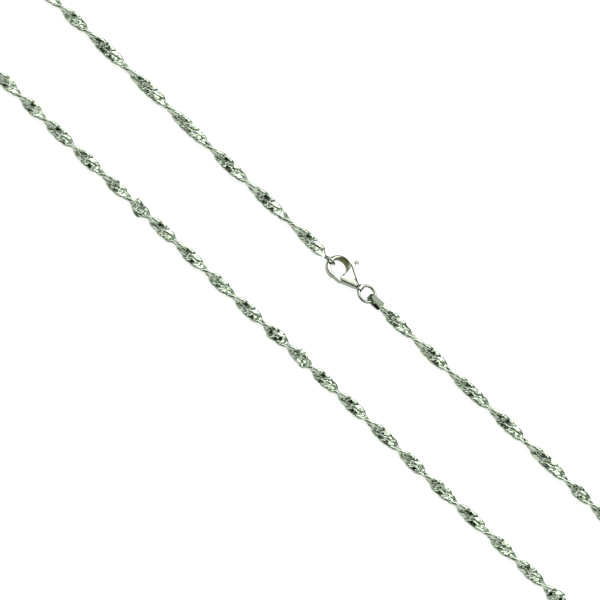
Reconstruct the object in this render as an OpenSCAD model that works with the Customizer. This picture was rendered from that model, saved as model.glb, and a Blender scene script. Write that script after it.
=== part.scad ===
// Singapore chain necklace of forty-five centimetres, lying closed on a flat surface.
// A flat curb band of fine links is twisted to the left along its whole length, so that it shows
// wide and narrow in turn. Its two ends meet at a drop-shaped trigger clasp: a standing end ring
// on the hook, and a folded tag on the jump ring in the eye.
// +X runs along the two strands towards the clasp's eye, +Z is up, and the origin is under the
// middle of the part on the surface that it lies on. All sizes are in millimetres.

/* [Chain] */
// Length of the closed loop as it lies
loop_l = 214.8; // [180:0.1:250]
// Width of the twisted band of links
chain_w = 2.4; // [1.8:0.1:3]
// Number of sides of the chain's solid
chain_sides = 8; // [8:1:12]

/* [Clasp] */
// Diameter of the round head of the clasp
head_d = 5.7; // [5.4:0.1:6.2]
// From the middle of the head to the middle of the eye
clasp_reach = 6.3; // [6:0.1:7.5]
// Thickness of the body at the head
clasp_t = 2; // [1.8:0.1:2.4]
// Thickness of the hook at its tip, and of the gate
tip_t = 1.3; // [1.2:0.1:1.6]
// Length of the hole along the clasp
hole_l = 3.36; // [3:0.1:3.6]
// Width of the hole across the clasp
hole_w = 4.1; // [3.8:0.1:4.3]
// Diameter of the body behind the hole
shoulder_d = 5.4; // [5:0.1:5.8]
// Width of the body where it meets the eye
tail_w = 1.35; // [1:0.05:1.6]
// Thickness of the body where it meets the eye
tail_t = 1.7; // [1.4:0.1:2]
// How far the body's rounded flanks stand out past its flat faces
flank_out = 0.4; // [0.2:0.05:0.5]
// Rounding of the hole's rims
rim_r = 0.35; // [0.2:0.05:0.5]
// Diameter of the eye's barrel
eye_d = 1.35; // [1.3:0.05:1.7]
// Length of the eye's barrel, across the clasp
eye_l = 1.1; // [0.9:0.1:1.6]

/* [Lever] */
// Thickness of the lever's plate
lever_t = 0.7; // [0.5:0.1:0.9]
// Width of the gate that closes the hook
gate_w = 0.66; // [0.5:0.05:0.8]
// Diameter of the rivet that the lever turns on
rivet_d = 0.6; // [0.4:0.1:0.8]
// Diameter of the round thumb nub
nub_d = 1.1; // [0.9:0.1:1.4]
// How far the lever turns from closed to open, in degrees
lever_swing = 22; // [10:1:24]
// Clearance between the rivet and the lever's bore
run_gap = 0.04; // [0.02:0.01:0.08]
// Clearance of the lever in its slot and at the hook's tip
slot_gap = 0.06; // [0.04:0.01:0.1]

/* [Rings] */
// Outer diameter of the jump ring in the eye
jump_d = 4.46; // [4:0.1:5.5]
// Wire of the jump ring
jump_wire = 0.7; // [0.5:0.05:0.8]
// Outer diameter of the end ring on the hook
end_d = 3; // [2.9:0.1:3.8]
// Wire of the end ring
end_wire = 0.5; // [0.4:0.05:0.6]
// How far the end ring leans over from upright, in degrees
end_lean = 22; // [0:1:30]
// Clearance between a ring and what it hangs in
ring_gap = 0.07; // [0.04:0.01:0.12]

/* [Tag] */
// Length of the folded tag
tag_l = 3.7; // [3.2:0.1:5]
// Width of the tag's two flaps
tag_w = 1.45; // [1.1:0.05:1.8]
// Width of the tag at its fold
tag_waist = 1; // [0.8:0.05:1.1]
// Thickness of the tag's sheet
tag_t = 0.28; // [0.2:0.02:0.4]
// Slack of the jump ring inside the fold
tag_slack = 0.75; // [0.3:0.05:0.9]
// How far the tag is rolled about the chain's line, in degrees
tag_roll = 10; // [0:1:12]

/* [Hidden] */
$fn = 48;
silver = [0.78, 0.79, 0.76];
bright_silver = [0.86, 0.87, 0.85];

// The route of the chain's middle line, from the tag round both bends to the end ring.
// Both ends are added to it further down, where the tag and the end ring leave off, and a
// longer or shorter loop stretches its places along X.
CHAIN_ROUTE = [
    [20, 9.7], [34, 9.7], [48, 9.75], [62, 9.6], [74, 9.45], [86, 9.3],
    [95, 9.2], [100.6, 7.7], [104.7, 3.6], [106.2, -2], [104.7, -7.6], [100.6, -11.7], [95, -13.2],
    [84, -13.25], [72, -13.3], [60, -13.25], [46, -13.2], [32, -13.05], [18, -12.95], [4, -12.9],
    [-10, -13], [-24, -13], [-38, -12.85], [-52, -12.85], [-66, -12.7], [-80, -12.3],
    [-95, -11.9], [-100.6, -10.4], [-104.7, -6.3], [-106.2, -0.7], [-104.7, 4.9], [-100.6, 9],
    [-95, 10.5], [-80, 10.55], [-66, 10.5], [-52, 10.4], [-38, 10.15], [-24, 10], [-10, 9.95]
];

// Heights: the chain rests on the surface, and the hook lies on the end ring's wire
chain_z = chain_w / 2;
clasp_z = max(clasp_t / 2, end_wire + slot_gap + ring_gap + tip_t / 2);

// The clasp's own frame has its origin in the middle of the head, with the eye along +X
head_at = [1.34, 9.95];
head_r = head_d / 2;
shoulder_r = shoulder_d / 2;
tail_x = clasp_reach - 0.5;
eye_mid = -0.1;

// The body's widest outline is a belt round the head, the shoulder, the nose over the rivet and the
// tail's two corners, and the ridge of its flat faces is a narrower belt that ends in a point
tail_mid = -0.37;
tail_r = 0.3;
nose_at = [hole_l / 2 + 0.62, -1.5];
nose_r = 0.93;
OUTLINE = [
    [0, 0, head_r], [0.96, 0, shoulder_d / 2], [nose_at.x, nose_at.y, nose_r],
    [tail_x - tail_r, tail_mid + tail_w / 2 - tail_r, tail_r],
    [tail_x - tail_r, tail_mid - tail_w / 2 + tail_r, tail_r]
];
RIDGE = [
    [0, 0, head_r - flank_out], [0.96, 0, shoulder_r - flank_out], [nose_at.x, nose_at.y, nose_r - flank_out - 0.28],
    [tail_x - tail_r, tail_mid + 0.07, 0.08]
];

// Directions from the middle of the head, in degrees: where the hook starts to get thinner, where it
// starts to bulge, and where the nose takes over behind the gate
thin_from = 95;
hook_from = 190;
nose_from = 290;

// The lever turns on a rivet that lies between the hole and the flank
pivot = [nose_at.x + 0.6, nose_at.y + 0.4];
hub_r = 0.7;
hub_room = 1.36;
gate_y = -(hole_w / 2 + gate_w / 2 - 0.1);
gate_tip = [0.36, gate_y];
gate_end = [pivot.x - 0.8, gate_y + 0.12];
gate_from = 195.5;
gate_to = 252;
web_a = atan2(gate_end.y - pivot.y, gate_end.x - pivot.x);
gate_sweep = norm([gate_tip.x - pivot.x, gate_tip.y - gate_w / 2 - pivot.y]);
tip_reach = gate_sweep - 0.06;
arm_top = [pivot.x + 0.08, shoulder_r - 1.1];
arm_neck = [pivot.x - 0.15, shoulder_r + 0.05];
nub_at = [pivot.x - 0.75, shoulder_r + 1.3];

// The rings and the tag hang one in the other
jump_r = (jump_d - jump_wire) / 2;
jump_x = clasp_reach + jump_r;
end_r = (end_d - end_wire) / 2;
hook_in_x = -hole_l / 2;
end_x = hook_in_x + 0.27 - (end_d / 2 - end_wire);
end_y = -0.2;
end_z = end_r * cos(end_lean) + end_wire / 2;
tag_gap = jump_wire / cos(tag_roll) + tag_w * tan(tag_roll) + ring_gap;
tag_h = tag_gap + 2 * tag_t;
tag_x = jump_x + jump_r - jump_wire / 2 - tag_slack - tag_t;
tag_end = tag_x + tag_l;

// The length that the route is drawn for
route_l = 214.8;
// The chain's solid starts behind the tag and ends before the end ring
chain_gap = 0.15;
chain_start = [head_at.x + tag_end + chain_gap, head_at.y];
chain_stop = [head_at.x + end_x - end_d / 2 - chain_gap, head_at.y + end_y + 0.1];

// Belt round a set of circles: distance to it from the middle of the head in the direction a
function support(belt, a) = max([for (c = belt) c.x * cos(a) + c.y * sin(a) + c.z]);
function belt_reach(belt, a) = min([for (t = [-80 : 1 : 80]) support(belt, a + t) / cos(t)]);
function hook_share(a) = ease((a - hook_from) / 50) * (1 - ease((a - nose_from) / 10));
function outer_reach(a) = belt_reach(OUTLINE, a) + 0.15 * hook_share(a);
function ridge_reach(a) = belt_reach(RIDGE, a) + 0.29 * hook_share(a);

// Oval hole: distance from the middle of the head to its wall
function hole_reach(a) = 1 / sqrt(pow(2 * cos(a) / hole_l, 2) + pow(2 * sin(a) / hole_w, 2));

// Thickness: full at the body, thinner towards the hook's tip and towards the tail
function ease(x) = let (c = min(1, max(0, x))) c * c * (3 - 2 * c);
function ring_t(a) = clasp_t - (clasp_t - tip_t) * ease((a - thin_from) / 75) * (1 - ease((a - nose_from) / 10));
function tail_share(x) = ease((x - hole_l / 2) / (tail_x - hole_l / 2));
function thick_at(a, r) = ring_t(a) - (clasp_t - tail_t) * tail_share(r * cos(a));

// One section of the body across the ring: rounded at the hole's rims and bulging at the flank
function ring_section(a) =
    let (r1 = hole_reach(a), r2 = ridge_reach(a), out = outer_reach(a) - r2)
    let (t1 = thick_at(a, r1) / 2, t2 = thick_at(a, r2) / 2, e = min(rim_r, (r2 - r1) / 2))
    concat(
        [for (t = [180 : 30 : 270]) around(a, r1 + e + e * cos(t), -t1 + e + e * sin(t))],
        [for (t = [-90 : 15 : 90]) around(a, r2 + out * cos(t), t2 * sin(t))],
        [for (t = [90 : 30 : 180]) around(a, r1 + e + e * cos(t), t1 - e + e * sin(t))]);
function around(a, r, z) = [r * cos(a), r * sin(a), z];

// Directions of the sections, closer together where the tail is long and narrow
SECTION_A = concat(
    [0, 2, 4, 6.5, 9, 12, 16, 20, 25, 31, 38, 46], [for (a = [54 : 9 : 306]) a],
    [314, 322, 329, 335, 340, 344, 348, 351, 353.5, 356, 358]);

module ring_solid() {
    rows = [for (a = SECTION_A) ring_section(a)];
    n = len(rows);
    m = len(rows[0]);
    polyhedron(
        [for (row = rows, p = row) p],
        [for (i = [0 : n - 1], j = [0 : m - 1])
            [i * m + j, i * m + (j + 1) % m, ((i + 1) % n) * m + (j + 1) % m, ((i + 1) % n) * m + j]],
        convexity = 6);
}

// A pie slice round the origin, from one direction to another less than half a turn on
module slice(from, to, reach) {
    mid = (from + to) / 2;
    out = reach / cos((to - from) / 4);
    polygon([[0, 0], reach * [cos(from), sin(from)], out * [cos(mid), sin(mid)], reach * [cos(to), sin(to)]]);
}

// A flat strap between two round ends
module strap(p, rp, q, rq) {
    along = (q - p) / norm(q - p);
    side = [-along.y, along.x];
    polygon([p + side * rp, p - side * rp, q - side * rq, q + side * rq]);
    translate(p) circle(rp);
    translate(q) circle(rq);
}

// Outline of the lever's plate: hub, web to the gate and arm to the nub
module lever_outline() {
    translate(pivot) circle(hub_r);
    strap(pivot, 0.3, gate_end, gate_w / 2 - 0.06);
    strap(pivot, 0.3, arm_top, 0.3);
    strap(arm_top, 0.3, arm_neck, 0.24);
}

module torus(r, wire_r) {
    rotate_extrude() translate([r, 0]) circle(wire_r);
}

module in_clasp() {
    translate([head_at.x, head_at.y, clasp_z]) children();
}

// Opening of the hook: the path of the gate round the rivet
module gate_opening() {
    linear_extrude(2 * clasp_t, center = true)
        translate(pivot)
            intersection() {
                difference() {
                    circle(gate_sweep + slot_gap);
                    circle(hub_room);
                }
                slice(gate_from - lever_swing, gate_to, 2 * head_r);
            }
}

// Slot for the lever's plate: the hub, the path of the arm to the nub and the path of the gate's web
module lever_slot() {
    arm_side = 0.3 + 2 * slot_gap;
    linear_extrude(lever_t + 2 * slot_gap, center = true)
        translate(pivot) {
            circle(hub_r + slot_gap);
            polygon([
                [-arm_side, 0], 4.4 * [cos(97.5), sin(97.5)],
                4.4 * [cos(84 - lever_swing), sin(84 - lever_swing)], arm_side * [cos(-lever_swing), sin(-lever_swing)]
            ]);
            polygon([
                arm_side * [cos(web_a + 90), sin(web_a + 90)], (hub_room + 0.25) * [cos(web_a + 15), sin(web_a + 15)],
                (hub_room + 0.25) * [cos(web_a - lever_swing - 15), sin(web_a - lever_swing - 15)],
                arm_side * [cos(web_a - lever_swing - 90), sin(web_a - lever_swing - 90)]
            ]);
        }
}

module chain() {
    drawn = [for (p = CHAIN_ROUTE) [p.x * loop_l / route_l, p.y]];
    route = concat([chain_start], drawn, [chain_stop]);
    line = route_line(route);
    rings = [for (i = [0 : len(line) - 1]) ring_at(line, i)];
    n = len(rings);
    m = chain_sides;
    color(silver)
        polyhedron(
            [for (r = rings, p = r) p],
            concat(
                [[for (j = [0 : m - 1]) j]],
                [for (i = [0 : n - 2], j = [0 : m - 1])
                    [i * m + j, (i + 1) * m + j, (i + 1) * m + (j + 1) % m, i * m + (j + 1) % m]],
                [[for (j = [m - 1 : -1 : 0]) (n - 1) * m + j]]),
            convexity = 4);
}

// Points of the smooth line through the route, two to each of its stretches
function smooth_point(p, i, t) =
    let (a = p[max(i - 1, 0)], b = p[i], c = p[i + 1], d = p[min(i + 2, len(p) - 1)])
    0.5 * (2 * b + (c - a) * t + (2 * a - 5 * b + 4 * c - d) * t * t + (3 * b - a - 3 * c + d) * t * t * t);
function route_line(p) =
    concat([for (i = [0 : len(p) - 2], t = [0, 0.5]) smooth_point(p, i, t)], [p[len(p) - 1]]);
function ring_at(line, i) =
    let (back = line[max(i - 1, 0)], ahead = line[min(i + 1, len(line) - 1)])
    let (way = (ahead - back) / norm(ahead - back))
    let (r = chain_w / 2 / cos(180 / chain_sides))
    [for (k = [0 : chain_sides - 1])
        let (a = (k + 0.5) * 360 / chain_sides)
        [line[i].x - way.y * r * cos(a), line[i].y + way.x * r * cos(a), chain_z + r * sin(a)]];

module end_ring() {
    color(bright_silver)
        translate([head_at.x + end_x, head_at.y + end_y, end_z])
            rotate([90 + end_lean, 0, 0])
                torus(end_r, end_wire / 2);
}

module clasp_body() {
    color(bright_silver)
        in_clasp()
            difference() {
                union() {
                    ring_solid();
                    translate([clasp_reach, eye_mid, 0])
                        rotate([90, 0, 0])
                            cylinder(h = eye_l, d = eye_d, center = true);
                }
                gate_opening();
                lever_slot();
                translate([pivot.x, pivot.y, 0])
                    cylinder(h = clasp_t - 0.36, d = rivet_d + 0.02, center = true);
                translate([jump_x, 0, 0])
                    torus(jump_r, jump_wire / 2 + ring_gap);
            }
}

module lever_rivet() {
    color(silver)
        in_clasp()
            translate([pivot.x, pivot.y, 0])
                cylinder(h = clasp_t - 0.4, d = rivet_d, center = true);
}

module clasp_lever() {
    color(bright_silver)
        in_clasp()
            difference() {
                union() {
                    linear_extrude(lever_t, center = true) {
                        lever_outline();
                        strap(arm_neck, 0.24, nub_at, 0.24);
                    }
                    linear_extrude(tip_t, center = true)
                        intersection() {
                            strap(gate_tip, gate_w / 2, gate_end, gate_w / 2);
                            translate(pivot)
                                difference() {
                                    circle(tip_reach);
                                    circle(hub_room + slot_gap);
                                }
                        }
                    translate([nub_at.x, nub_at.y, 0])
                        sphere(d = nub_d);
                }
                translate([pivot.x, pivot.y, 0])
                    cylinder(h = 2 * lever_t, d = rivet_d + 2 * run_gap, center = true);
            }
}

module jump_ring() {
    color(bright_silver)
        in_clasp()
            translate([jump_x, 0, 0])
                torus(jump_r, jump_wire / 2);
}

// Side view of the folded tag, open towards the chain
module tag_fold(h) {
    translate([tag_h / 2, 0]) circle(h / 2);
    translate([tag_h / 2, -h / 2]) square([tag_l, h]);
}

// Top view of the tag: narrow at the fold, wide at the flaps
module tag_plan() {
    wide_from = tag_slack + tag_t;
    translate([0, -tag_waist / 2]) square([tag_l, tag_waist]);
    polygon([
        [wide_from, tag_w / 2], [wide_from, -tag_w / 2], [tag_l - 0.4, -tag_w / 2], [tag_l, -tag_w / 2 + 0.4],
        [tag_l, tag_w / 2]
    ]);
}

module end_tag() {
    color(bright_silver)
        in_clasp()
            translate([tag_x, 0, 0])
                rotate([-tag_roll, 0, 0])
                    intersection() {
                        rotate([90, 0, 0])
                            linear_extrude(2 * tag_w, center = true)
                                difference() {
                                    tag_fold(tag_h);
                                    tag_fold(tag_gap);
                                }
                        linear_extrude(2 * tag_h, center = true)
                            tag_plan();
                    }
}

chain();
end_ring();
clasp_body();
lever_rivet();
clasp_lever();
jump_ring();
end_tag();
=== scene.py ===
# %% [markdown]
# A singapore chain necklace. Flat curb links are cut to bright facets and the whole row is
# twisted, so the chain glitters like a rope of small mirrors. It closes with a drop-shaped
# trigger clasp, a jump ring and a small folded end tag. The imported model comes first. It
# fixes every size and place, and each piece below is made where that model says.

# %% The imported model
import functools
import math
import random

import bmesh
import bpy
from mathutils import Euler, Matrix, Vector


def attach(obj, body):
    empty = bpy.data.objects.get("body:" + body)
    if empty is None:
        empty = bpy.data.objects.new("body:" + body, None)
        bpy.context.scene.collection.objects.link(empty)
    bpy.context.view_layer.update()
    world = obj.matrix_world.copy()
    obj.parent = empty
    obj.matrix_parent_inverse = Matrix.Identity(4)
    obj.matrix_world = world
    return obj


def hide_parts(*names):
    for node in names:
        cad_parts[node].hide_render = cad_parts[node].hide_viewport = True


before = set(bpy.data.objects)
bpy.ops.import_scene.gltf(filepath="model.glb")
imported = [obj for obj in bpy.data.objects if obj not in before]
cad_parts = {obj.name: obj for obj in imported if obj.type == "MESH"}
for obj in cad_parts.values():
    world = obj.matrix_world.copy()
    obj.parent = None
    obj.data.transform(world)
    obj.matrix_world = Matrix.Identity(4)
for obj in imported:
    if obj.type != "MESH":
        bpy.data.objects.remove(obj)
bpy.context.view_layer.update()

MM = 0.001

# %% [markdown]
# The picture was taken from well above, tipped 32 degrees from straight down and rolled by
# 43 degrees, so the two strands run from corner to corner. A long lens from 0.9 m keeps
# them parallel, as they are in the picture. 126 mm of the tabletop fills the frame.

# %% Camera
TIP = math.radians(32.0)
ROLL = math.radians(42.8)
CAMERA_REACH = 0.9
FRAME_WIDTH = 0.126
SENSOR_MM = 36.0
NEAREST, FARTHEST = 0.01, 20.0
look_at = Vector((0, -2.45, 1.2)) * MM

back = Vector((0, -math.sin(TIP), math.cos(TIP)))
up_flat = Vector((0, math.cos(TIP), math.sin(TIP)))
across = Vector((1, 0, 0))
right = across * math.cos(ROLL) + up_flat * math.sin(ROLL)
up = up_flat * math.cos(ROLL) - across * math.sin(ROLL)

camera_data = bpy.data.cameras.new("camera")
camera_data.sensor_width = SENSOR_MM
camera_data.lens = SENSOR_MM * CAMERA_REACH / FRAME_WIDTH
camera_data.clip_start, camera_data.clip_end = NEAREST, FARTHEST
camera = bpy.data.objects.new("camera", camera_data)
bpy.context.scene.collection.objects.link(camera)
turn = Matrix((right, up, back)).transposed()
camera.matrix_world = Matrix.Translation(look_at + back * CAMERA_REACH) @ turn.to_4x4()
bpy.context.scene.camera = camera
print("lens, mm:", round(camera_data.lens, 1))

# %% [markdown]
# Every finish is a small net of nodes. One function adds a node, fills its sockets and
# links it. Another turns a colour picked as a hex value into the linear light that the
# renderer works in, where a mid grey is much darker than its number says.


# %% Colours and nodes
def linear(hex_colour):
    """An sRGB hex colour such as "D8DDD0" as a linear colour with alpha."""
    channels = [int(hex_colour[i:i + 2], 16) / 255 for i in (0, 2, 4)]
    curve = [c / 12.92 if c <= 0.04045 else ((c + 0.055) / 1.055) ** 2.4 for c in channels]
    return (*curve, 1.0)


def add_node(tree, kind, settings=None, **sockets):
    """Adds one node. Settings are its own options; sockets take a value or an output."""
    node = tree.nodes.new(kind)
    for name, value in (settings or {}).items():
        setattr(node, name, value)
    for name, value in sockets.items():
        by_number = name[1:].isdigit()
        socket = node.inputs[int(name[1:]) if by_number else name.replace("_", " ")]
        if isinstance(value, bpy.types.NodeSocket):
            tree.links.new(value, socket)
        else:
            socket.default_value = value
    return node


def smooth_range(tree, value, low, high):
    """The output of a node that rises softly from 0 at low to 1 at high."""
    return add_node(tree, "ShaderNodeMapRange", {"interpolation_type": "SMOOTHSTEP"},
                    s0=value, s1=low, s2=high).outputs[0]


def new_material(name):
    """A material with an empty net, ready for its nodes."""
    material = bpy.data.materials.new(name)
    material.use_nodes = True
    tree = material.node_tree
    tree.nodes.clear()
    return material, tree


print("mid grey 808080, linear:", round(linear("808080")[0], 3))

# %% [markdown]
# The floor is a white sheet of matt paper lit from below, as on a light table. Its own glow
# takes away nearly all shadow, and it throws an even light into the silver from underneath.

# %% Floor
FLOOR_HALF_SIDE = 1.5
FLOOR_GLOW = 0.84
PAPER_GRAIN = 3.3 * MM
white_sheet, tree = new_material("matt_white_sheet")
place = add_node(tree, "ShaderNodeTexCoord").outputs["Object"]
grain = add_node(tree, "ShaderNodeTexNoise", Vector=place, Scale=1 / PAPER_GRAIN, Detail=3.0)
tone = add_node(tree, "ShaderNodeMix", {"data_type": "RGBA"}, s0=grain.outputs[0],
                s6=linear("9E9E9E"), s7=linear("A4A4A4"))
shader = add_node(tree, "ShaderNodeBsdfPrincipled", Base_Color=tone.outputs[2],
                  Roughness=0.9, Metallic=0.0, Emission_Color=linear("FFFFFF"),
                  Emission_Strength=FLOOR_GLOW)
add_node(tree, "ShaderNodeOutputMaterial", Surface=shader.outputs[0])

floor_mesh = bpy.data.meshes.new("floor")
bm = bmesh.new()
bmesh.ops.create_grid(bm, x_segments=4, y_segments=4, size=FLOOR_HALF_SIDE)
bm.to_mesh(floor_mesh)
bm.free()
floor_mesh.materials.append(white_sheet)
floor = bpy.data.objects.new("floor", floor_mesh)
bpy.context.scene.collection.objects.link(floor)
print("floor, m:", [round(side, 2) for side in floor.dimensions])

# %% [markdown]
# Bright metal shows its surroundings more than its own colour, so the light decides the
# look. One softbox hangs behind and above the necklace, where faces that lie flat mirror it
# into the camera. It is narrow, so a face that tips a few degrees loses it and falls dark.
# That draws the dark line round each rounded edge.

# %% Softbox
SOFTBOX_WAY = (0.0, 0.60, 0.80)
SOFTBOX_REACH, SOFTBOX_WIDTH, SOFTBOX_HEIGHT = 0.8, 1.2, 0.42
SOFTBOX_POWER = 4.1


def softbox(name, direction, reach, width, height, power):
    """A rectangular area light that stands off in a direction and faces the necklace."""
    data = bpy.data.lights.new(name, "AREA")
    data.shape, data.size, data.size_y, data.energy = "RECTANGLE", width, height, power
    light = bpy.data.objects.new(name, data)
    towards = Vector(direction).normalized()
    light.matrix_world = Matrix.Translation(look_at + towards * reach) @ \
        towards.to_track_quat("Z", "Y").to_matrix().to_4x4()
    light.visible_camera = False
    bpy.context.scene.collection.objects.link(light)


softbox("softbox_back", SOFTBOX_WAY, SOFTBOX_REACH, SOFTBOX_WIDTH, SOFTBOX_HEIGHT, SOFTBOX_POWER)
print("lights:", len(bpy.data.lights))

# %% [markdown]
# The rest of the room is a set of pale panels with green-black gaps. They give the silver
# its many small contrasts and add to its green cast. The panels fade towards the horizon,
# and the room is dark behind the camera, as a studio is.

# %% Room
ROOM_GLOW = 2.7
PANEL_SCALE = 2.6
PANEL_EDGE = (0.36, 0.52)
PANEL_HEIGHT = (0.35, 0.75)
DARK_BEHIND_CAMERA = (0.84, 0.96)
GAP_COLOUR, PANEL_COLOUR, DARK_COLOUR = "1C241C", "F2F5EE", "0E140E"

world = bpy.data.worlds.new("pale_room")
world.use_nodes = True
room = world.node_tree
room.nodes.clear()
way = add_node(room, "ShaderNodeTexCoord").outputs["Generated"]
panels = add_node(room, "ShaderNodeTexNoise", Vector=way, Scale=PANEL_SCALE, Detail=1.0)
height = add_node(room, "ShaderNodeSeparateXYZ", Vector=way)
lit = add_node(room, "ShaderNodeMath", {"operation": "MULTIPLY"},
               s0=smooth_range(room, panels.outputs[0], *PANEL_EDGE),
               s1=smooth_range(room, height.outputs[2], *PANEL_HEIGHT))
walls = add_node(room, "ShaderNodeMix", {"data_type": "RGBA"}, s0=lit.outputs[0],
                 s6=linear(GAP_COLOUR), s7=linear(PANEL_COLOUR))
faced = add_node(room, "ShaderNodeVectorMath", {"operation": "DOT_PRODUCT"}, s0=way, s1=tuple(back))
shade = add_node(room, "ShaderNodeMix", {"data_type": "RGBA"},
                 s0=smooth_range(room, faced.outputs[1], *DARK_BEHIND_CAMERA),
                 s6=walls.outputs[2], s7=linear(DARK_COLOUR))
glow = add_node(room, "ShaderNodeBackground", Color=shade.outputs[2], Strength=ROOM_GLOW)
add_node(room, "ShaderNodeOutputWorld", Surface=glow.outputs[0])
bpy.context.scene.world = world
bpy.context.scene.view_settings.view_transform = "Standard"
print("room nodes:", len(room.nodes))

# %% [markdown]
# Polished silver is never quite even. Its tone drifts over a few millimetres, tumbling
# leaves shallow dents, and wear leaves fine scratches that blur the mirror a little where
# they lie close. Two noises of real size make the dents and scratches, and the scratches
# also set the roughness. A finish may have one patch, an upright oval with a colour and a
# gloss of its own and a soft border.

# %% A finish with dents and scratches
TONE_DRIFT = 3.0 * MM
DENT_DEPTH, SCRATCH_DEPTH = 0.02 * MM, 0.004 * MM
SCRATCH_CURL = 1.5


def add_patch(tree, place, tone, haze, middle, reach, fade, colour, roughness):
    """The tone and haze of the metal, with others inside an upright oval."""
    off = add_node(tree, "ShaderNodeVectorMath", {"operation": "SUBTRACT"}, s0=place,
                   s1=(middle.x * MM, middle.y * MM, 0))
    off = add_node(tree, "ShaderNodeVectorMath", {"operation": "MULTIPLY"}, s0=off.outputs[0],
                   s1=(1 / (reach[0] * MM), 1 / (reach[1] * MM), 0))
    off = add_node(tree, "ShaderNodeVectorMath", {"operation": "LENGTH"}, s0=off.outputs[0])
    away = smooth_range(tree, off.outputs[1], 1.0, fade)
    tone = add_node(tree, "ShaderNodeMix", {"data_type": "RGBA"}, s0=away, s6=linear(colour), s7=tone)
    haze = add_node(tree, "ShaderNodeMix", {"data_type": "FLOAT"}, s0=away, s2=roughness, s3=haze)
    return tone.outputs[2], haze.outputs[0]


def silver(name, tints, roughness, dent_mm, scratch_mm, dent, scratch, patch=None):
    """Polished metal: two tints, the least and most roughness, and the size and strength
    of its dents and scratches."""
    material, tree = new_material(name)
    place = add_node(tree, "ShaderNodeTexCoord").outputs["Object"]
    drift = add_node(tree, "ShaderNodeTexNoise", Vector=place, Scale=1 / TONE_DRIFT, Detail=2.0)
    tone = add_node(tree, "ShaderNodeMix", {"data_type": "RGBA"}, s0=drift.outputs[0],
                    s6=linear(tints[0]), s7=linear(tints[1])).outputs[2]
    dents = add_node(tree, "ShaderNodeTexNoise", Vector=place, Scale=1 / (dent_mm * MM), Detail=1.0)
    fine = add_node(tree, "ShaderNodeTexNoise", Vector=place, Scale=1 / (scratch_mm * MM),
                    Detail=4.0, Distortion=SCRATCH_CURL)
    haze = add_node(tree, "ShaderNodeMapRange", Value=fine.outputs[0], s3=roughness[0],
                    s4=roughness[1]).outputs[0]
    if patch:
        tone, haze = add_patch(tree, place, tone, haze, **patch)
    relief = add_node(tree, "ShaderNodeBump", Strength=dent, Distance=DENT_DEPTH,
                      Height=dents.outputs[0])
    relief = add_node(tree, "ShaderNodeBump", Strength=scratch, Distance=SCRATCH_DEPTH,
                      Height=fine.outputs[0], Normal=relief.outputs[0])
    shader = add_node(tree, "ShaderNodeBsdfPrincipled", Base_Color=tone, Metallic=1.0,
                      Roughness=haze, Normal=relief.outputs[0])
    add_node(tree, "ShaderNodeOutputMaterial", Surface=shader.outputs[0])
    return material


print("tone drift, mm:", TONE_DRIFT / MM)

# %% [markdown]
# Five finishes of sterling silver. The links are drawn wire, pressed flat and then touched
# with a diamond tool. The eye reads that as crisp flashes beside dark lines. The rings and
# the rivet are tumbled in steel shot, which leaves a mirror with a faint haze of tiny
# scratches and soft dents. So is the gate, but a thumb has worn its round nub matt, which
# shows as a soft pale spot. The clasp is cast and then tumbled too. The wall inside its hole
# is painted a dark olive, a painted shade that stands for the shadow and dark reflection that
# fall in the hole. The tag is folded from rolled sheet and hardly polished, so it stays a
# quieter, darker grey. The hole and the nub are where the imported model has them, in
# millimetres.

# %% Silver
HEAD_AT = Vector((1.34, 9.95, 1.28))
HOLE_LONG, HOLE_WIDE = 1.68, 2.05
NUB_AT = Vector((3.49, 13.95, 1.28))
# Painted shade: a dark olive oval with a smoother gloss on the wall inside the clasp's hole.
HOLE_PAINTED_SHADE = {"middle": HEAD_AT, "reach": (HOLE_LONG, HOLE_WIDE), "fade": 1.22,
           "colour": "56562F", "roughness": 0.12}
THUMB_WEAR = {"middle": NUB_AT, "reach": (0.8, 1.3), "fade": 1.5,
              "colour": "B8BEB4", "roughness": 0.55}
DIAMOND_CUT = {"tints": ("9AA596", "BDC9B7"), "roughness": (0.08, 0.22),
               "dent_mm": 0.9, "scratch_mm": 0.12, "dent": 0.5, "scratch": 0.3}
TUMBLED = {"tints": ("8A9085", "989E93"), "roughness": (0.07, 0.18),
           "dent_mm": 1.6, "scratch_mm": 0.15, "dent": 0.35, "scratch": 0.25}
ROLLED_SHEET = {"tints": ("656B62", "757B71"), "roughness": (0.14, 0.26),
                "dent_mm": 1.2, "scratch_mm": 0.15, "dent": 0.3, "scratch": 0.4}

link_silver = silver("sterling_silver_diamond_cut", **DIAMOND_CUT)
tumbled_silver = silver("sterling_silver_tumbled", **TUMBLED)
gate_silver = silver("sterling_silver_thumb_worn", **TUMBLED, patch=THUMB_WEAR)
# The casting's finish carries the painted shade inside the hole.
cast_silver_painted_shade = silver("sterling_silver_cast_painted_hole_shade", **TUMBLED, patch=HOLE_PAINTED_SHADE)
sheet_silver = silver("sterling_silver_rolled_sheet", **ROLLED_SHEET)
silvers = (link_silver, tumbled_silver, gate_silver, cast_silver_painted_shade, sheet_silver)
print("finishes:", [finish.name for finish in silvers])

# %% [markdown]
# One link first. A real one is a round wire bent to an oval ring, and then twisted a
# little, so that each link can lie flat in the one before it. A circle spun about an axis
# makes the ring. Each vertex is then moved to the same place round the bent oval. What
# stands above a set height is pressed flat, as the cutting tool leaves it, and the edges of
# those flats are creased. The ring is turned by half a step first, so that a face and not
# an edge lies across each place that is cut. Last, the link is drawn a little deeper. A
# Subdivision modifier rounds the wire later. It draws the wire in by about an eighth and
# the ring by a fortieth, so both start that much larger.

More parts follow.
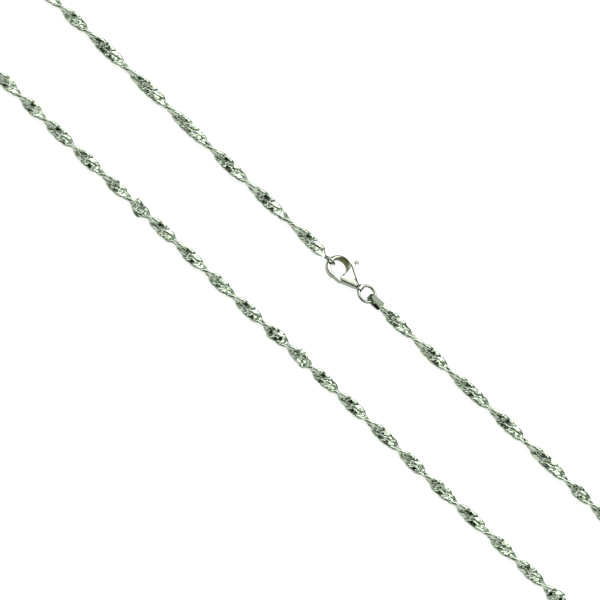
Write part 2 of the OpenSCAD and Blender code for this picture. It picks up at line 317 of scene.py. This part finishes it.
# %% A link
HALF_LONG, HALF_WIDE, RISE = 1.64 * MM, 0.93 * MM, 0.54 * MM
POINTED, SQUARED, STEEP = 0.22 * MM, -0.12 * MM, -0.043 * MM
WIRE = 0.88 * MM
CUT_AT = 0.54 * MM
DEEPER = 1.12
RING_STEPS, WIRE_SIDES = 16, 6
ROUNDING_LOSS = 0.87
RING_LOSS = 1.025
SMALL_TURN = 0.01
ON_THE_CUT = 1e-7


def link_middle(angle):
    """The middle of the wire at an angle round the link."""
    return Vector((
        HALF_LONG * math.cos(angle) + POINTED * math.cos(3 * angle),
        HALF_WIDE * math.sin(angle) + SQUARED * math.sin(3 * angle),
        -RISE * math.sin(2 * angle) + STEEP * math.sin(4 * angle)))


def bend_and_cut(spot, radius):
    """Moves a point of the plain ring to the bent oval, and presses it flat if it is high."""
    angle = math.atan2(spot.y, spot.x) + math.pi / RING_STEPS
    middle = link_middle(angle) * RING_LOSS
    along = (link_middle(angle + SMALL_TURN) - link_middle(angle - SMALL_TURN)).normalized()
    outwards = Vector((along.y, -along.x, 0)).normalized()
    upwards = outwards.cross(along)
    if upwards.z < 0:
        upwards.negate()
    off, rise = math.hypot(spot.x, spot.y) - HALF_LONG, spot.z
    bent = middle + outwards * off + upwards * rise
    if abs(bent.z) > CUT_AT:
        plane = math.copysign(CUT_AT, bent.z)
        half = math.sqrt(max(radius ** 2 - (abs(plane) - abs(middle.z)) ** 2, 0))
        bent = middle + outwards * math.copysign(half, off)
        bent.z = plane
    return bent


def make_link():
    """The mesh of one link, lying flat round the origin with its length along X."""
    bm = bmesh.new()
    radius = WIRE / 2 / ROUNDING_LOSS
    upright = Matrix.Translation((HALF_LONG, 0, 0)) @ Matrix.Rotation(math.pi / 2, 4, "X")
    flat_on_top = Matrix.Rotation(math.pi / WIRE_SIDES, 4, "Z")
    bmesh.ops.create_circle(bm, segments=WIRE_SIDES, radius=radius, matrix=upright @ flat_on_top)
    bmesh.ops.spin(bm, geom=bm.verts[:] + bm.edges[:], cent=(0, 0, 0), axis=(0, 0, 1),
                   dvec=(0, 0, 0), angle=2 * math.pi, steps=RING_STEPS, use_merge=True)
    for vert in bm.verts:
        vert.co = bend_and_cut(vert.co, radius)
    bmesh.ops.recalc_face_normals(bm, faces=bm.faces)
    cut = {face for face in bm.faces
           if all(abs(abs(vert.co.z) - CUT_AT) < ON_THE_CUT for vert in face.verts)}
    crease = bm.edges.layers.float.new("crease_edge")
    for edge in bm.edges:
        if sum(face in cut for face in edge.link_faces) == 1:
            edge[crease] = 1.0
            edge.smooth = False
    bmesh.ops.scale(bm, vec=(1, 1, DEEPER), verts=bm.verts)
    mesh = bpy.data.meshes.new("link")
    bm.to_mesh(mesh)
    bm.free()
    return mesh, len(cut)


link_mesh, cut_faces = make_link()
print("one link:", len(link_mesh.polygons), "faces, cut flat:", cut_faces)

# %% [markdown]
# The row of links follows a route on the table. The points are the same as those of the
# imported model's tube, so the links fill the space that it holds. They lie a fifth of a
# millimetre higher, because single links stand a little proud of the tube. A smooth curve
# runs through the points, and its length is measured as it goes.

# %% The route
ROUTE = [(13.87, 9.95), (20, 9.7), (34, 9.7), (48, 9.75), (62, 9.6), (74, 9.45), (86, 9.3), (95, 9.2),
         (100.6, 7.7), (104.7, 3.6), (106.2, -2), (104.7, -7.6), (100.6, -11.7), (95, -13.2),
         (84, -13.25), (72, -13.3), (60, -13.25), (46, -13.2), (32, -13.05), (18, -12.95), (4, -12.9),
         (-10, -13), (-24, -13), (-38, -12.85), (-52, -12.85), (-66, -12.7), (-80, -12.3),
         (-95, -11.9), (-100.6, -10.4), (-104.7, -6.3), (-106.2, -0.7), (-104.7, 4.9), (-100.6, 9),
         (-95, 10.5), (-80, 10.55), (-66, 10.5), (-52, 10.4), (-38, 10.15), (-24, 10), (-10, 9.95),
         (-2.32, 9.78)]
CHAIN_HEIGHT = 1.38
STEPS_A_STRETCH = 24


def on_curve(points, i, t):
    """A point of the smooth curve, part t of the way along stretch i."""
    before, start, end, after = (points[max(0, min(len(points) - 1, i + k))] for k in (-1, 0, 1, 2))
    return (start * 2 + (end - before) * t + (before * 2 - start * 5 + end * 4 - after) * t ** 2
            + (start * 3 - before - end * 3 + after) * t ** 3) / 2


corners = [Vector((x, y, CHAIN_HEIGHT)) * MM for x, y in ROUTE]
track = [on_curve(corners, i, step / STEPS_A_STRETCH)
         for i in range(len(corners) - 1) for step in range(STEPS_A_STRETCH)] + [corners[-1]]
walked = [0.0]
for here, there in zip(track, track[1:]):
    walked.append(walked[-1] + (there - here).length)
print("route, mm:", round(walked[-1] / MM, 1))

# %% [markdown]
# The twist isn't even. Each place where the row stands on its edge is known from the
# picture, and the row turns half round between two of them. It turns fastest where it
# stands on edge and lingers where it lies flat, which makes the lobes long and the waists
# short. In the two bends, which the picture doesn't show, it goes on at the same pace.
# The route has three legs: to the right along the upper strand, back along the whole lower
# one, and to the right again along the rest of the upper strand. On edge means on edge to
# the camera, so the camera's tip comes into the angle, the other way round on the way back.

# %% The twist
UPPER_X = [23.4, 33.8, 45.2, 55.7, 67.5]
LOWER_X = [77.8, 69.9, 61.8, 52.6, 44.3, 36.5, 27.3, 18.9, 11.1, 4.7, -2.1, -10.8, -18.5, -27.0,
           -34.9, -40.1, -48.0, -56.4, -64.6, -71.7]
LAST_X = [-71.5, -59.9, -47.9, -35.5, -25.1, -12.8]
LEG_ENDS = (0.22, 0.70)
X_RISES = (True, False, True)
HALF_TURN = math.pi
LINGER = 0.22


def walked_to(x, leg):
    """How far along the route the row passes x, on leg 0, 1 or 2 of its way."""
    found = None
    for k in range(len(track) - 1):
        a, b = track[k].x, track[k + 1].x
        here = sum(walked[k] >= walked[-1] * end for end in LEG_ENDS)
        if here == leg and (a <= x < b if X_RISES[leg] else b < x <= a):
            found = walked[k] + (x - a) / (b - a) * (walked[k + 1] - walked[k])
    return found


edge_on = []
turned = TIP + HALF_TURN / 2
for x in UPPER_X:
    edge_on.append((walked_to(x * MM, 0), turned))
    turned -= HALF_TURN


def next_leg(spots, leg, facing, half_turn_mm):
    """Adds the next leg's edge-on places, with a whole number of half turns before them."""
    last_at, last_angle = edge_on[-1]
    gap = walked_to(spots[0] * MM, leg) - last_at
    wished = last_angle - gap / (half_turn_mm * MM) * HALF_TURN
    angle = facing + HALF_TURN / 2
    angle += round((wished - angle) / HALF_TURN) * HALF_TURN
    for x in spots:
        edge_on.append((walked_to(x * MM, leg), angle))
        angle -= HALF_TURN


next_leg(LOWER_X, 1, facing=-TIP, half_turn_mm=8.6)
next_leg(LAST_X, 2, facing=TIP, half_turn_mm=10.0)
first_rate = HALF_TURN / (edge_on[1][0] - edge_on[0][0])
last_rate = HALF_TURN / (edge_on[-1][0] - edge_on[-2][0])


def twist_at(distance):
    """The angle that the row has turned to at a distance along the route."""
    if distance <= edge_on[0][0]:
        return edge_on[0][1] + (edge_on[0][0] - distance) * first_rate
    for (a, angle_a), (b, angle_b) in zip(edge_on, edge_on[1:]):
        if distance <= b:
            part = (distance - a) / (b - a)
            part += LINGER * math.sin(2 * math.pi * part) / (2 * math.pi)
            return angle_a + (angle_b - angle_a) * part
    return edge_on[-1][1] - (distance - edge_on[-1][0]) * last_rate


print("half turns:", round((twist_at(0) - twist_at(walked[-1])) / HALF_TURN, 1))

# %% [markdown]
# Each link is a copy of the one link, turned by the twist and set one step further along. A
# link is longer than three steps, so it lies through the next two and reaches the third.
# They lie in pairs, so the eye sees broad strokes with dark gaps between them. No link lies
# quite true, and at four places one link has swung round, so its ends stand out of the row.

# %% Where each link lies
LINK_STEP = 1.22 * MM
FIRST_LINK = 0.2
PAIR_SHIFT = 0.58 * MM
LOOSE = [math.radians(limit) for limit in (7, 3, 3.5)]
TURNED_OUT_X = [80.6, 8.7, 1.6, -37.9]
TURNED_OUT_BY = math.radians(40)
link_count = round(walked[-1] / LINK_STEP)
step = walked[-1] / link_count
turned_out = [round(walked_to(x * MM, 1) / step - FIRST_LINK) for x in TURNED_OUT_X]
dice = random.Random(5)


def at_distance(distance):
    """The point and the direction of the route at a distance along it."""
    low, high = 0, len(walked) - 1
    while high - low > 1:
        middle = (low + high) // 2
        low, high = (middle, high) if walked[middle] <= distance else (low, middle)
    part = (distance - walked[low]) / (walked[low + 1] - walked[low])
    return track[low].lerp(track[low + 1], part), (track[low + 1] - track[low]).normalized()


def link_place(number):
    """The matrix that lays one link on the route, turned by the twist and a little loose."""
    distance = (number + FIRST_LINK) * step - (number % 2) * PAIR_SHIFT
    point, along = at_distance(distance)
    angle = twist_at(distance)
    side = Vector((0, 0, 1)).cross(along)
    facing = Vector((0, 0, math.cos(angle))) - side * math.sin(angle)
    laid = Matrix.Translation(point) @ Matrix((along, facing.cross(along), facing)).transposed().to_4x4()
    loose = Euler([dice.uniform(-limit, limit) for limit in LOOSE])
    if number in turned_out:
        loose.z += TURNED_OUT_BY
    return laid @ loose.to_matrix().to_4x4()


print("links:", link_count, "step, mm:", round(step / MM, 3), "turned out:", turned_out)

# %% [markdown]
# The row is joined into two pieces, one for each half of the loop, so each piece stays
# light. Its own weight settles the row a little, so it is drawn in by a twentieth in
# height. One level of Subdivision then rounds the six-sided wire of every link at once.

# %% The links
SETTLED = 0.945


def lay_links(name, first, last):
    """One piece with the links of that part of the row."""
    bm = bmesh.new()
    for number in range(first, last):
        made = len(bm.verts)
        bm.from_mesh(link_mesh)
        bm.verts.ensure_lookup_table()
        bmesh.ops.transform(bm, matrix=link_place(number), verts=bm.verts[made:])
    bmesh.ops.scale(bm, vec=(1, 1, SETTLED), verts=bm.verts,
                    space=Matrix.Translation((0, 0, -CHAIN_HEIGHT * MM)))
    for face in bm.faces:
        face.smooth = True
    mesh = bpy.data.meshes.new(name)
    bm.to_mesh(mesh)
    bm.free()
    mesh.materials.append(link_silver)
    piece = bpy.data.objects.new(name, mesh)
    bpy.context.scene.collection.objects.link(piece)
    rounded = piece.modifiers.new("round_wire", "SUBSURF")
    rounded.levels = rounded.render_levels = 1
    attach(piece, "necklace")
    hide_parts("chain")
    return piece


halves = [lay_links("links_from_tag", 0, link_count // 2),
          lay_links("links_to_ring", link_count // 2, link_count)]
print("faces before rounding:", [len(piece.data.polygons) for piece in halves])

# %% [markdown]
# The clasp's casting has the right outline, hole, gate slot and thickness in the packed
# model, but its rims are turned too tightly there. A worn casting rolls over widely at its
# rims, and that roll is what draws the dark line along its spine. So each point of a copy
# is moved along its ray from the middle of the head. The lower a point lies under the flat
# face, the less it moves, so the widest outline and the hole keep their size. The circles
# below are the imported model's own, as x, y and radius in millimetres from the middle of the
# head. Each pair of degrees is two directions from there, between which a form comes in or
# goes out.

# %% The casting's form
OUTLINE = [(0, 0, 2.85), (0.96, 0, 2.7), (2.3, -1.5, 0.93), (5.5, 0.005, 0.3), (5.5, -0.745, 0.3)]
RIDGE = [(0, 0, 2.45), (0.96, 0, 2.3), (2.3, -1.5, 0.25), (5.5, -0.3, 0.08)]
TAIL_X = 5.8
FULL, HOOK_THINNER, TAIL_THINNER = 2.0, 0.7, 0.3
HOOK_THINS, HOOK_BULGES, NOSE_BEGINS = (95, 170), (190, 240), (290, 300)
RIDGE_BULGE, OUTER_BULGE = 0.29, 0.15
BELT_DEGREES = range(-80, 81, 2)


def eased(x, low, high):
    """A smooth step from 0 at low to 1 at high."""
    part = min(1, max(0, (x - low) / (high - low)))
    return part * part * (3 - 2 * part)


def belt_reach(belt, ray):
    """How far a belt round some circles reaches from the middle of the head along a ray."""
    def support(angle):
        return max(x * math.cos(angle) + y * math.sin(angle) + r for x, y, r in belt)
    return min(support(ray + math.radians(t)) / math.cos(math.radians(t)) for t in BELT_DEGREES)


def thickness(degrees, x):
    """The casting's thickness along a ray, less towards the hook's tip and the tail."""
    hook = eased(degrees, *HOOK_THINS) * (1 - eased(degrees, *NOSE_BEGINS))
    return FULL - HOOK_THINNER * hook - TAIL_THINNER * eased(x, HOLE_LONG, TAIL_X)


@functools.cache
def ray_marks(degrees):
    """Where a ray meets the hole, the flat face's ridge and the outline."""
    ray = math.radians(degrees)
    hook = eased(degrees, *HOOK_BULGES) * (1 - eased(degrees, *NOSE_BEGINS))
    return (1 / math.hypot(math.cos(ray) / HOLE_LONG, math.sin(ray) / HOLE_WIDE),
            belt_reach(RIDGE, ray) + RIDGE_BULGE * hook,
            belt_reach(OUTLINE, ray) + OUTER_BULGE * hook)


print("room between hole and ridge, mm:",
      {a: round(ray_marks(a)[1] - ray_marks(a)[0], 2) for a in (0, 90, 180, 300)})

# %% [markdown]
# The roll is wide along the spine, from the tail round to where the hook begins, and a
# little wider still near the tail. On the other side it is narrow, because the ridge is
# crisp there. The rim of the hole flares, and round the hook there is hardly any change.

# %% The casting's rolled rims
RIM = 0.35
SPINE_ROLL, NEAR_TAIL_ROLL, RIDGE_ROLL = 0.6, 0.12, 0.2
SPINE_BEGINS, NEAR_TAIL_ENDS, SPINE_ENDS = (-1, 4), (15, 40), (150, 190)
RIDGE_BEGINS, RIDGE_ENDS = (-90, -65), (-12, -8)
BETWEEN_ROLLS = -4
FLARE, HOOK_FLARE, HOOK_DEGREES = 0.75, 0.3, (180, 290)
DRAFT = 0.16
MOST_ROLL = 0.45
OUTSIDE = 0.05
LEAST_WIDTH = 1e-6


def roll_width(degrees):
    """How far the ridge is rolled over, in a direction from the middle of the head."""
    signed = degrees if degrees < 180 else degrees - 360
    if signed > BETWEEN_ROLLS:
        wide = SPINE_ROLL + NEAR_TAIL_ROLL * (1 - eased(signed, *NEAR_TAIL_ENDS))
        return wide * eased(signed, *SPINE_BEGINS) * (1 - eased(signed, *SPINE_ENDS))
    return RIDGE_ROLL * (1 - eased(signed, *RIDGE_ENDS)) * eased(signed, *RIDGE_BEGINS)


def roll_rims(spot):
    """Moves one point of the casting for its widely rolled rims."""
    x, y, z = spot / MM - HEAD_AT
    r, degrees = math.hypot(x, y), math.degrees(math.atan2(y, x)) % 360
    hole, ridge, outer = ray_marks(round(degrees * 4) / 4)
    room = ridge - hole
    roll = min(roll_width(degrees), MOST_ROLL * room)
    at_hook = HOOK_DEGREES[0] < degrees < HOOK_DEGREES[1]
    flare = min(HOOK_FLARE if at_hook else FLARE, room / 2)
    rim = min(RIM, room / 2)
    half = thickness(degrees, x) / 2
    bulge = math.sqrt(1 - min(1, abs(z) / half) ** 2)
    turn = 1 - math.sqrt(1 - min(1, max(0, (abs(z) - half + rim) / rim)) ** 2)
    draft = DRAFT * flare * min(1, abs(z) / (half - rim))
    inner_edge, outer_edge = hole + rim * turn, ridge + (outer - ridge) * bulge
    if r > outer_edge + OUTSIDE:
        return spot
    share = min(1, max(0, (r - inner_edge) / max(outer_edge - inner_edge, LEAST_WIDTH)))
    shift = (draft + (flare - rim) * turn) * (1 - share) - roll * (1 - bulge) * share
    return (Vector((x, y, 0)) * (1 + shift / r) + Vector((0, 0, z)) + HEAD_AT) * MM


print("roll in a direction, mm:", {a: round(roll_width(a), 2) for a in (10, 60, 170, 240, 300)})

# %% [markdown]
# The lever, the rivet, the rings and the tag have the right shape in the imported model. A
# merged copy of each piece is shaded smooth across its gentle edges, so the metal flows as
# a tumbled casting does, and its crisp corners stay crisp. The gate's own edges get a small
# bevel. Shading weighted by face size keeps the flat faces flat right up to their rims.

# %% Clasp, rings and tag
SMOOTH_UP_TO = math.radians(32)
MERGE_WITHIN = 2e-7
GATE_EDGE, GATE_EDGE_STEPS = 0.12 * MM, 3
GATE_EDGE_FROM = math.radians(40)


def polished_copy(node, body, name, finish, shape=None):
    """A merged, smooth-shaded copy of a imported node."""
    bm = bmesh.new()
    bm.from_mesh(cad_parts[node].data)
    bmesh.ops.remove_doubles(bm, verts=bm.verts, dist=MERGE_WITHIN)
    if shape:
        for vert in bm.verts:
            vert.co = shape(vert.co)
    bmesh.ops.recalc_face_normals(bm, faces=bm.faces)
    for face in bm.faces:
        face.smooth = True
    for edge in bm.edges:
        edge.smooth = len(edge.link_faces) == 2 and edge.calc_face_angle(0) < SMOOTH_UP_TO
    mesh = bpy.data.meshes.new(name)
    bm.to_mesh(mesh)
    bm.free()
    mesh.materials.append(finish)
    piece = bpy.data.objects.new(name, mesh)
    bpy.context.scene.collection.objects.link(piece)
    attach(piece, body)
    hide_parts(node)
    return piece


casting = polished_copy("clasp_body", "necklace", "clasp_casting", cast_silver_painted_shade, roll_rims)
gate = polished_copy("clasp_lever", "lever", "clasp_gate", gate_silver)
rivet = polished_copy("lever_rivet", "necklace", "gate_rivet", tumbled_silver)
jump_ring = polished_copy("jump_ring", "necklace", "jump_ring_wire", tumbled_silver)
end_ring = polished_copy("end_ring", "necklace", "end_ring_wire", tumbled_silver)
tag = polished_copy("end_tag", "necklace", "folded_tag", sheet_silver)

tumbled_edges = gate.modifiers.new("tumbled_edges", "BEVEL")
tumbled_edges.limit_method, tumbled_edges.angle_limit = "ANGLE", GATE_EDGE_FROM
tumbled_edges.width, tumbled_edges.segments = GATE_EDGE, GATE_EDGE_STEPS
for piece in (casting, gate, tag):
    piece.modifiers.new("even_shading", "WEIGHTED_NORMAL").keep_sharp = True
print("metal pieces:", [(piece.name, len(piece.data.polygons))
                        for piece in (casting, gate, rivet, jump_ring, end_ring, tag)])
